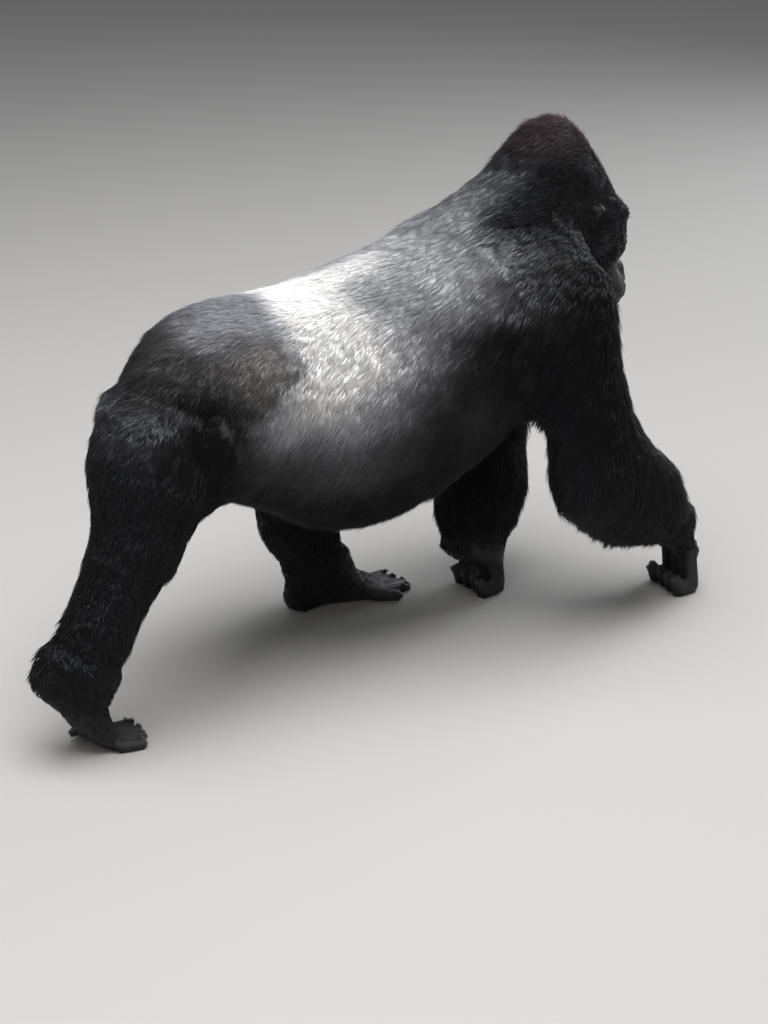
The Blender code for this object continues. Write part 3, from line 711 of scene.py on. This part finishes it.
def add_node(tree, kind, settings=None, links=None):
    """Adds a node. Settings fill its properties and its inputs' values, and links feed its inputs."""
    node = tree.nodes.new(kind)
    for key, value in (settings or {}).items():
        if isinstance(key, int) or key in node.inputs:
            node.inputs[key].default_value = value
        else:
            setattr(node, key, value)
    for key, source in (links or {}).items():
        tree.links.new(source, node.inputs[key])
    return node


def new_material(name, roughness, **settings):
    material = bpy.data.materials.new(name)
    material.use_nodes = True
    tree = material.node_tree
    shader = tree.nodes["Principled BSDF"]
    shader.inputs["Roughness"].default_value = roughness
    for key, value in settings.items():
        shader.inputs[key.replace("_", " ")].default_value = value
    return material, tree, shader


def add_bump(tree, shader, height, strength, distance):
    settings = {"Strength": strength, "Distance": distance}
    node = add_node(tree, "ShaderNodeBump", settings, {"Height": height})
    tree.links.new(node.outputs["Normal"], shader.inputs["Normal"])


def hide_of_ape():
    """Thick dark skin: satin, cracked into small cells, with the markings of the hair over it, darkened
    as painted shade.
    """
    material, tree, shader = new_material("ape_hide", 0.44, Specular_IOR_Level=0.32)
    colour = add_node(tree, "ShaderNodeAttribute", {"attribute_name": "coat_colour"})
    place = add_node(tree, "ShaderNodeTexCoord")
    here = {"Vector": place.outputs["Object"]}
    # cells of the skin: 1000 mm / 850 is about 1.2 mm across, coarser than real ones, to show
    cells = add_node(tree, "ShaderNodeTexVoronoi", {"Scale": 850.0, "feature": "DISTANCE_TO_EDGE"}, here)
    # wrinkles and mottling: 1000 mm / 85 is about 12 mm long
    mottle = add_node(tree, "ShaderNodeTexNoise", {"Scale": 85.0, "Detail": 6.0, "Roughness": 0.6}, here)
    tones = {"From Min": 0.3, "From Max": 0.7, "To Min": 0.72, "To Max": 1.25}
    tone = add_node(tree, "ShaderNodeMapRange", tones, {"Value": mottle.outputs["Fac"]})
    parts = {0: colour.outputs["Color"], "Scale": tone.outputs["Result"]}
    tint = add_node(tree, "ShaderNodeVectorMath", {"operation": "SCALE"}, parts)
    tree.links.new(tint.outputs["Vector"], shader.inputs["Base Color"])
    away = {"Value": cells.outputs["Distance"]}
    crack = add_node(tree, "ShaderNodeMapRange", {"From Max": 0.25}, away)
    parts = {0: crack.outputs["Result"], 2: mottle.outputs["Fac"]}
    height = add_node(tree, "ShaderNodeMath", {"operation": "MULTIPLY_ADD", 1: 0.2}, parts)
    add_bump(tree, shader, height.outputs["Value"], 0.75, 0.0022)
    return material


def guard_hair():
    """Straight guard hair: a soft gleam along each lock and a faint blue bloom on the black."""
    material, tree, shader = new_material(
        "guard_hair", 0.45, Specular_IOR_Level=0.20,
        Sheen_Weight=0.035, Sheen_Roughness=0.4, Sheen_Tint=(0.75, 0.82, 1.0, 1.0))
    colour = add_node(tree, "ShaderNodeAttribute", {"attribute_name": "coat_colour"})
    tree.links.new(colour.outputs["Color"], shader.inputs["Base Color"])
    return material


def eye_glaze():
    """A wet eye: dark brown iris in a brown-black white, under a clear cornea."""
    material, tree, shader = new_material(
        "eye_glaze", 0.10, IOR=1.376, Coat_Weight=0.1, Coat_Roughness=0.03)
    out = add_node(tree, "ShaderNodeAttribute", {"attribute_name": "from_gaze"})
    colours = add_node(tree, "ShaderNodeValToRGB", None, {"Fac": out.outputs["Fac"]})
    # pupil, iris, its dark rim and the white, from the middle of the gaze outwards
    stops = (
        (0.0, "#030202"), (0.20, "#040303"), (0.24, "#1a0c05"), (0.36, "#2b1509"),
        (0.46, "#1c0d06"), (0.52, "#0a0504"), (0.62, "#1c110d"), (1.0, "#120b08"),
    )
    elements = colours.color_ramp.elements
    while len(elements) < len(stops):
        elements.new(0.5)
    for element, (at, code) in zip(elements, stops):
        element.position = at
        element.color = (*linear(code), 1)
    tree.links.new(colours.outputs["Color"], shader.inputs["Base Color"])
    return material


def keratin():
    """Nails: grey-black horn with fine ridges along them."""
    material, tree, shader = new_material("keratin", 0.32, Specular_IOR_Level=0.5)
    place = add_node(tree, "ShaderNodeTexCoord")
    # ridges: 1000 mm / 700 is about 1.4 mm apart, coarser than real ones, to show
    here = {"Vector": place.outputs["Object"]}
    grain = add_node(tree, "ShaderNodeTexNoise", {"Scale": 700.0, "Detail": 2.0}, here)
    colours = add_node(tree, "ShaderNodeValToRGB", None, {"Fac": grain.outputs["Fac"]})
    for element, code in zip(colours.color_ramp.elements, ("#1a1716", "#37312e")):
        element.color = (*linear(code), 1)
    tree.links.new(colours.outputs["Color"], shader.inputs["Base Color"])
    add_bump(tree, shader, grain.outputs["Fac"], 0.3, 0.0005)
    return material


def floor_plaster():
    """Smooth matt plaster, grey enough not to glare."""
    return new_material("floor_plaster", 0.85, Base_Color=(*linear("#858380"), 1))[0]


def paint(mesh, colours):
    """Stores the vertices' colours, which the hide and the hair read."""
    layer = mesh.color_attributes.new("coat_colour", "FLOAT_COLOR", "POINT")
    values = np.ones((len(mesh.vertices), 4), np.float32)
    values[:, :3] = colours
    layer.data.foreach_set("color", values.ravel())


# ---------------- the coat


def coat_fields(skin):
    """What the coat is like at each vertex of the skin."""
    mesh = skin.data
    points = vertex_places(mesh)
    owner = nodes_at(points)
    mean = neighbour_mean(mesh)
    fields = {"owner": owner, "normal": vertex_normals(mesh), "point": points}
    for key in ("depth", "length", "width", "rise", "crowd", "lock", "droop"):
        fields[key] = relax(spread(owner, key), mean, 90)
    # soles and the palms' side of the hands have no hair
    kind = kinds(owner)
    downward = (fields["normal"][:, 2] < -0.35) | (points[:, 2] < 0.02)
    under = np.isin(kind, ("hand", "foot")) & downward
    naked = np.maximum(under | np.isin(kind, ("finger", "toe", "ear")), bare_face(points))
    fields["naked"] = relax(naked, mean, 12)
    fields["crowd"] *= 1 - ramp(0.25, 0.85, fields["naked"] + 0.12 * ripple(points, 0.02, 9))
    fields["length"] *= 1 - 0.7 * fields["naked"]
    # the hair is short at the wrists and ankles, and stands in a ruff on the cheeks
    fields["length"] *= 1 - 0.45 * ramp(0.26, 0.12, points[:, 2])
    ahead, left, up = to_head(points).T
    ruff = bump(ahead - 0.055, 0.040) * bump(up + 0.060, 0.060)
    ruff = ruff * ramp(0.050, 0.085, np.abs(left)) * (ahead < 0.2)
    for key, more in (("length", 0.018), ("rise", 12.0), ("depth", 0.008)):
        fields[key] = fields[key] + more * ruff
    fields["way"] = unit(relax(unit(spread(owner, "way")), mean, 120))
    return fields


# A tuft is a closed needle of four faces, or a bent spindle of six, thickest near its root.
# shade: how bright each of its points is, darker towards the root as painted shade deep in the coat and
# brighter at the tip. patch: where each point lies in the tuft's patch of the map.
NEEDLE = {
    "faces": np.array(((0, 2, 1), (0, 1, 3), (1, 2, 3), (2, 0, 3))),
    "shade": np.array((0.62, 0.62, 0.80, 1.22)),
    "patch": np.array(((-0.5, -0.5), (0.5, -0.5), (0.0, -0.35), (0.0, 0.5))),
}
SPINDLE = {
    "faces": np.array(((0, 2, 1), (0, 3, 2), (0, 1, 3), (1, 2, 4), (2, 3, 4), (3, 1, 4))),
    "shade": np.array((0.58, 0.88, 0.88, 1.0, 1.22)),
    "patch": np.array(((0.0, -0.5), (-0.5, -0.1), (0.5, -0.1), (0.0, -0.05), (0.0, 0.5))),
}
PATCH_SIZE = 0.003
ROOT_DEPTH = 0.0012
HAIR_CLEARANCE = 0.0015  # between hair and floor


def scatter(fields, faces, chosen, most, rng):
    """Roots of tufts all over the chosen faces of the skin, as (faces, weights of their corners)."""
    corners = fields["point"][faces]
    one, two = corners[:, 1] - corners[:, 0], corners[:, 2] - corners[:, 0]
    area = np.linalg.norm(np.cross(one, two), axis=1) / 2
    crowd = fields["crowd"][faces].mean(1) * 1e4 * HAIR_SHARE
    share = np.where(chosen, area * crowd, 0)
    count = int(min(share.sum(), most * HAIR_SHARE))
    total = np.cumsum(share)
    spots = (np.arange(count) + rng.uniform(0, 1, count)) * total[-1] / count
    face = np.minimum(np.searchsorted(total, spots), len(faces) - 1)
    a, b = np.sqrt(rng.uniform(0, 1, count)), rng.uniform(0, 1, count)
    return face, np.stack((1 - a, a * (1 - b), a * b), 1)


def gather(root, tip, normal, length, lock, rng):
    """Draws each tip towards a neighbour's, so that the hair stands in locks."""
    count = len(root)
    heads = rng.choice(count, max(1, count // 16), replace=False)
    tree = KDTree(len(heads))
    for index, head in enumerate(heads.tolist()):
        tree.insert(root[head], index)
    tree.balance()
    nearest = heads[[tree.find(p)[1] for p in root.tolist()]]
    pull = (tip[nearest] - tip) * (lock * rng.uniform(0.3, 1.0, count))[:, None]
    reach = np.linalg.norm(pull, axis=1)
    pull *= np.minimum(1, 0.35 * length / np.maximum(reach, 1e-6))[:, None]
    pull -= normal * np.minimum((pull * normal).sum(1), 0)[:, None] * 0.5
    return tip + pull


def clear_of(tree, tips, length):
    """Lifts the tips that a fold of the skin would bury."""
    hits = [tree.find_nearest(p) for p in tips.tolist()]
    on = np.array([tuple(h[0]) for h in hits])
    out = np.array([tuple(h[1]) for h in hits])
    height = ((tips - on) * out).sum(1)
    wanted = np.minimum(0.0030, 0.07 * length)
    return tips + out * np.clip(wanted - height, 0, 0.012)[:, None]


def grow(name, fields, faces, chosen, unwrap, shape, seed):
    """A piece of the coat: closed tufts, rooted in the skin and joined in one mesh."""
    rng = np.random.default_rng(seed)
    face, weight = scatter(fields, faces, chosen, COAT_TRIANGLES // len(shape["faces"]), rng)
    ring = faces[face]

    def at_root(key):
        values = fields[key][ring]
        return (values * weight.reshape(*weight.shape, *[1] * (values.ndim - 2))).sum(1)

    root = at_root("point")
    normal = unit(at_root("normal"))
    way = unit(at_root("way"))
    count = len(root)
    # the lie of the hair wanders a little, in broad and in fine waves
    aside = np.cross(normal, way)
    wander = 0.12 * ripple(root, 0.12, 11) + 0.10 * ripple(root, 0.035, 12)
    way = way + aside * wander[:, None]
    way = way - normal * (way * normal).sum(1, keepdims=True)
    way = unit(way + 1e-4 * rng.normal(size=(count, 3)))
    aside = np.cross(normal, way)
    uneven = 1 + 0.14 * ripple(root, 0.045, 13)
    length = at_root("length") * uneven * rng.uniform(0.6, 1.2, count)
    width = at_root("width") * rng.uniform(0.7, 1.3, count)
    rise = np.radians(at_root("rise")) * rng.uniform(0.5, 1.4, count)
    # hair hangs where it is long, and ends near the surface of the flesh nodes
    lean = way * np.cos(rise)[:, None] + normal * np.sin(rise)[:, None]
    lean = lean + aside * rng.normal(0, 0.07, count)[:, None]
    lean[:, 2] -= at_root("droop")
    lean = unit(lean)
    upright = (lean * normal).sum(1)
    lean = unit(lean + normal * np.clip(0.10 - upright, 0, None)[:, None])
    upright = (lean * normal).sum(1)
    length = np.minimum(length, 2.0 * at_root("depth") / np.maximum(upright, 0.05) + 0.006)
    tip = gather(root, root + lean * length[:, None], normal, length, at_root("lock"), rng)
    tip = clear_of(fields["tree"], tip, length)
    foot = root - normal * ROOT_DEPTH
    half = aside * (0.5 * width)[:, None]
    back = normal * (0.32 * width)[:, None]
    if shape is NEEDLE:
        rows = [foot - half, foot + half, foot + back, tip]
    else:
        thick = root + (tip - root) * 0.4 + normal * (0.09 * length)[:, None]
        rows = [foot, thick - half, thick + half, thick + back, tip]
    points = np.stack(rows, 1).reshape(-1, 3)
    points[:, 2] = np.maximum(points[:, 2], HAIR_CLEARANCE)
    starts = len(rows) * np.arange(count)
    triangles = (shape["faces"][None] + starts[:, None, None]).reshape(-1, 3)
    mesh = triangle_mesh(name, points, triangles)
    base = markings(root + rng.normal(0, 0.005, (count, 3)))
    base = base * np.exp(rng.normal(0, 0.16, count))[:, None]
    paint(mesh, (base[:, None] * shape["shade"][None, :, None]).reshape(-1, 3))
    uv = unwrap(root)[:, None] + PATCH_SIZE * shape["patch"][None]
    layer = mesh.uv_layers.new(name="OFBake")
    layer.data.foreach_set("uv", uv.reshape(-1, 2)[triangles.ravel()].astype(np.float32).ravel())
    return new_object(name, mesh)


def triangle_mesh(name, points, triangles):
    """One mesh of all the tufts of a piece."""
    mesh = bpy.data.meshes.new(name)
    mesh.vertices.add(len(points))
    mesh.vertices.foreach_set("co", points.astype(np.float32).ravel())
    mesh.loops.add(triangles.size)
    mesh.loops.foreach_set("vertex_index", triangles.astype(np.int32).ravel())
    mesh.polygons.add(len(triangles))
    mesh.polygons.foreach_set("loop_start", np.arange(0, triangles.size, 3, dtype=np.int32))
    mesh.polygons.foreach_set("loop_total", np.full(len(triangles), 3, np.int32))
    mesh.polygons.foreach_set("use_smooth", np.ones(len(triangles), bool))
    mesh.update(calc_edges=True)
    return mesh


def unwrapped(skin, chosen):
    """One region of the skin laid out flat: a function from places to spots on the map."""
    most_faces = 3000
    bm = bmesh.new()
    bm.from_mesh(skin.data)
    bm.faces.ensure_lookup_table()
    others = [bm.faces[i] for i in np.flatnonzero(~chosen).tolist()]
    bmesh.ops.delete(bm, geom=others, context="FACES")
    patch = new_object("region", mesh_of(bm, "region"))
    thin = patch.modifiers.new("thin", "DECIMATE")
    thin.ratio = min(1.0, most_faces / len(patch.data.polygons))
    apply_modifiers(patch)
    bpy.context.view_layer.objects.active = patch
    for other in bpy.context.selected_objects:
        other.select_set(False)
    patch.select_set(True)
    bpy.ops.object.mode_set(mode="EDIT")
    bpy.ops.mesh.select_all(action="SELECT")
    bpy.ops.uv.smart_project(angle_limit=1.3, island_margin=0.01, scale_to_bounds=True)
    bpy.ops.object.mode_set(mode="OBJECT")
    mesh = patch.data
    mesh.calc_loop_triangles()
    corners = read(mesh.loop_triangles, "vertices", 3, np.int32)
    loops = read(mesh.loop_triangles, "loops", 3, np.int32)
    points = vertex_places(mesh)
    uv = read(mesh.uv_layers.active.data, "uv", 2).astype(float)[loops]
    tree = BVHTree.FromPolygons(points.tolist(), corners.tolist())
    bpy.data.objects.remove(patch, do_unlink=True)

    def spots(places):
        hits = [tree.find_nearest(p) for p in places.tolist()]
        face = np.array([h[2] for h in hits])
        on = np.array([tuple(h[0]) for h in hits])
        a, b, c = (points[corners[face, i]] for i in range(3))
        whole = np.cross(b - a, c - a)
        size = np.maximum((whole * whole).sum(1), 1e-18)
        one = (np.cross(c - b, on - b) * whole).sum(1) / size
        two = (np.cross(a - c, on - c) * whole).sum(1) / size
        weights = np.stack((one, two, 1 - one - two), 1)
        return (uv[face] * weights[..., None]).sum(1)

    return spots


COATS = {
    "coat_head": (NEEDLE, ("head", "jaw", "ear_left", "ear_right")),
    "coat_neck": (NEEDLE, ("neck",)),
    "coat_chest": (NEEDLE, ("chest",)),
    "coat_abdomen": (NEEDLE, ("abdomen",)),
    "coat_pelvis": (NEEDLE, ("pelvis",)),
}
for name in SIDES:
    digits = tuple(node for node in NODES if "finger" in node and node.endswith(name))
    toes = tuple(node for node in NODES if "toe" in node and node.endswith(name))
    COATS["coat_upper_arm_" + name] = (SPINDLE, ("upper_arm_" + name,))
    COATS["coat_forearm_" + name] = (SPINDLE, ("forearm_" + name, "hand_" + name, *digits))
    COATS["coat_leg_" + name] = (SPINDLE, ("thigh_" + name, "shank_" + name, "foot_" + name, *toes))


def grow_coat(skin, material):
    """Grows all the pieces of the coat, and paints the skin with the same markings, darkened as painted
    shade between the hairs.
    """
    fields = coat_fields(skin)
    mesh = skin.data
    mesh.calc_loop_triangles()
    faces = read(mesh.loop_triangles, "vertices", 3, np.int32)
    fields["tree"] = BVHTree.FromPolygons(fields["point"].tolist(), faces.tolist())
    polygon = read(mesh.loop_triangles, "polygon_index", 1, np.int32)
    face_owner = fields["owner"][faces[:, 0]]
    for seed, (name, (shape, nodes)) in enumerate(COATS.items()):
        wanted = np.isin(face_owner, [NODES.index(node) for node in nodes])
        haired = wanted & (fields["crowd"][faces].mean(1) > 0.1)
        of_polygon = np.zeros(len(mesh.polygons), bool)
        of_polygon[polygon[wanted]] = True
        coat = grow(name, fields, faces, haired, unwrapped(skin, of_polygon), shape, seed + 1)
        coat.data.materials.append(material)
        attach(coat, "root")
    colour = markings(fields["point"]) * 0.4  # painted shade: darker between the hairs
    paint(mesh, mix(colour, FACE_BLACK, ramp(0.1, 0.5, fields["naked"])))


# ---------------- eyes and nails


def make_eye(name, sign, material):
    """An eyeball with a cornea. It stores how far from the gaze each place is."""
    bulge, cornea = 0.0009, 0.0052
    bm = bmesh.new()
    bmesh.ops.create_uvsphere(bm, u_segments=40, v_segments=28, radius=EYE_RADIUS)
    gaze = HEAD_TURN @ unit((1.0, 0.10 * sign, -0.05))
    turn = Vector((0, 0, 1)).rotation_difference(Vector(gaze)).to_matrix()
    for vertex in bm.verts:
        out = math.hypot(vertex.co.x, vertex.co.y)
        if vertex.co.z > 0:
            vertex.co.z += bulge * math.exp(-((out / cornea) ** 4))
    layer = bm.verts.layers.float.new("from_gaze")
    for vertex in bm.verts:
        out = math.hypot(vertex.co.x, vertex.co.y)
        vertex[layer] = out / EYE_RADIUS if vertex.co.z > 0 else 1.0
    bmesh.ops.transform(bm, matrix=Matrix.Translation(EYE[name]) @ turn.to_4x4(), verts=bm.verts)
    eye = new_object("eyeball_" + name, mesh_of(bm, "eyeball"))
    eye.data.shade_smooth()
    eye.data.materials.append(material)
    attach(eye, "root")
    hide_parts("eye_" + name)


def add_nail(bm, place, along, out, length, width):
    """A curved plate, set into the end of a digit."""
    thickness = 0.0055
    made = bmesh.ops.create_uvsphere(bm, u_segments=12, v_segments=8, radius=0.5)
    along, out = unit(along), np.asarray(out, float)
    out = unit(out - along * (out @ along))
    across = np.cross(out, along)
    turn = Matrix(np.stack((along * length, across * width, out * thickness), 1).tolist()).to_4x4()
    bmesh.ops.transform(bm, matrix=Matrix.Translation(place) @ turn, verts=made["verts"])


def make_nails(material):
    """A nail on the end of each finger and toe."""
    bm = bmesh.new()
    for name in NODES:
        low, high = (np.array(corner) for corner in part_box(name))
        middle = (low + high) / 2
        if "toe" in name:
            big = name.startswith("big")
            place = np.array((high[0] - 0.0105, middle[1], 0.0195))
            add_nail(bm, place, (1, 0, -0.55), (0.55, 0, 1), 0.015, 0.015 if big else 0.0115)
        elif "finger" in name:
            place = np.array((low[0] + 0.004, middle[1], 0.040))
            add_nail(bm, place, (-0.25, 0, 1), (-1, 0, -0.25), 0.015, 0.013)
    nails = new_object("nails", mesh_of(bm, "nails"))
    nails.data.shade_smooth()
    nails.data.materials.append(material)
    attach(nails, "root")


# ---------------- the studio


# name, place, size, watts and colour of each lamp
LAMPS = (
    ("overhead", (-0.6, -0.9, 6.0), 5.4, 1120, (0.97, 0.98, 1.0)),
    ("key", (-2.4, -3.0, 2.6), 1.8, 44, (1.0, 0.97, 0.93)),
    ("front", (6.4, 1.7, 2.9), 3.2, 270, (0.92, 0.95, 1.0)),
)
LAMP_AIM = Vector((0, 0, 0.5))


def make_studio():
    """A plain floor under soft, mostly overhead light."""
    scene = bpy.context.scene
    bm = bmesh.new()
    bmesh.ops.create_grid(bm, x_segments=1, y_segments=1, size=14)
    floor = new_object("floor", mesh_of(bm, "floor"))
    floor.location.z = Vector(cad_box[0]).z - 0.0005
    floor.data.materials.append(floor_plaster())
    world = bpy.data.worlds.new("studio")
    world.use_nodes = True
    background = world.node_tree.nodes["Background"]
    background.inputs["Color"].default_value = (0.86, 0.90, 0.96, 1)
    background.inputs["Strength"].default_value = 0.30
    scene.world = world
    for name, place, size, power, colour in LAMPS:
        light = bpy.data.lights.new(name, "AREA")
        light.energy = power
        light.size = size
        light.color = colour
        lamp = bpy.data.objects.new(name, light)
        lamp.location = place
        lamp.rotation_euler = (LAMP_AIM - Vector(place)).to_track_quat("-Z", "Y").to_euler()
        scene.collection.objects.link(lamp)
    scene.view_settings.view_transform = "Standard"


def make_camera():
    """Stands behind the animal's right hip, a little above its back, and looks across it."""
    azimuth, height, distance = math.radians(-30), math.radians(22), 4.5
    target = Vector((0.062, -0.012, 0.302))
    level = math.cos(height)
    away = Vector((math.sin(azimuth) * level, -math.cos(azimuth) * level, math.sin(height)))
    camera = bpy.data.cameras.new("camera")
    camera.sensor_fit = "VERTICAL"
    camera.sensor_height = 36
    camera.lens = 71.0
    obj = bpy.data.objects.new("camera", camera)
    obj.location = target + distance * away
    obj.rotation_euler = away.to_track_quat("Z", "Y").to_euler()
    bpy.context.scene.collection.objects.link(obj)
    bpy.context.scene.camera = obj


# ---------------- the whole

skin = model_skin()
skin.data.materials.clear()
skin.data.materials.append(hide_of_ape())
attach(skin, "root")
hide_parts(*FLESH)
grow_coat(skin, guard_hair())
glaze = eye_glaze()
for name, sign in SIDES.items():
    make_eye(name, sign, glaze)
make_nails(keratin())
make_studio()
make_camera()
